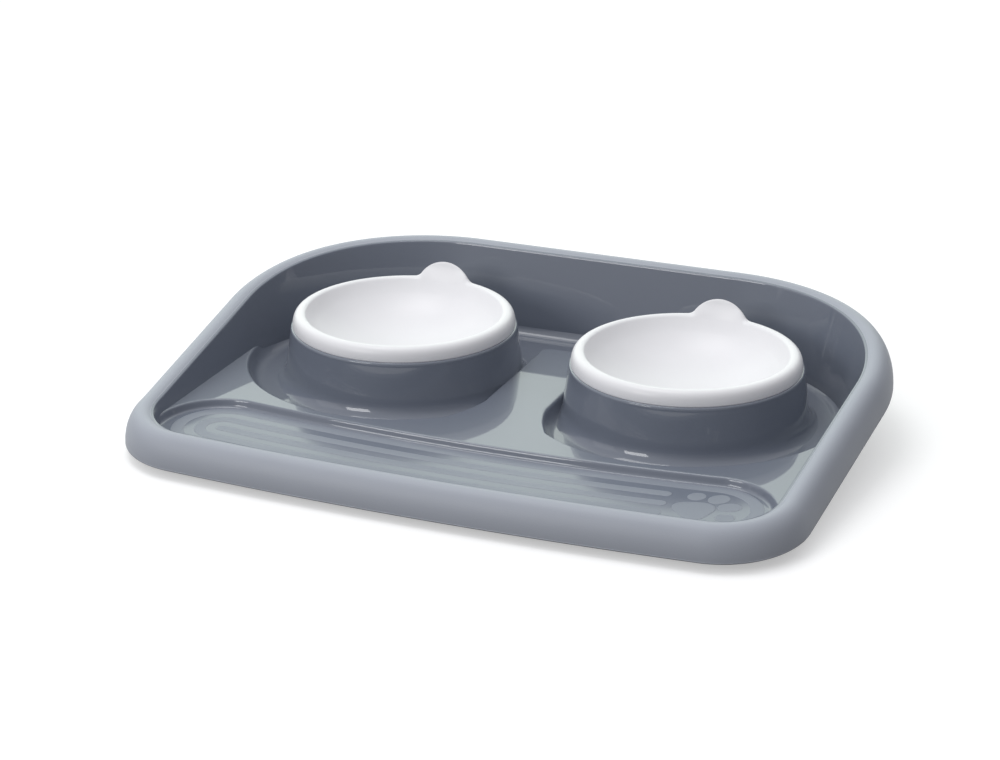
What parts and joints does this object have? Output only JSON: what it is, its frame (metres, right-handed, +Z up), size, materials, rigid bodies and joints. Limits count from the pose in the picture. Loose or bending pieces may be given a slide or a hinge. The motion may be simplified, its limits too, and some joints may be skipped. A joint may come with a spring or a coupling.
{
  "type": "double pet bowl",
  "caption": "Pet feeding tray with a rolled rim, ribbed drip floor and high splash wall; white bowls with finger tabs lift out of its pedestals.",
  "frame": {"origin": "on the table, under the middle of the tray's bounding box", "axes": "+X along the tray's width, toward the paw print; +Y toward the high splash wall; +Z up"},
  "size_m": [0.4436, 0.3249, 0.0656],
  "materials": {
    "tray_plastic": "gloss inside, fine matt texture on the rolled rim and the ribs",
    "bowl_plastic": "satin",
    "foot_rubber": "matt"
  },
  "bodies": {
    "tray": {"tray": "tray_plastic", "foot_front_left": "foot_rubber", "foot_front_right": "foot_rubber", "foot_rear_left": "foot_rubber", "foot_rear_right": "foot_rubber"},
    "bowl_left": {"bowl_left": "bowl_plastic"},
    "bowl_right": {"bowl_right": "bowl_plastic"}
  },
  "joints": [
    {"name": "bowl_left_lift", "type": "slide", "parent": "tray", "child": "bowl_left", "axis": [0, 0, 1], "range_m": [0, 0.1]},
    {"name": "bowl_right_lift", "type": "slide", "parent": "tray", "child": "bowl_right", "axis": [0, 0, 1], "range_m": [0, 0.1]}
  ]
}
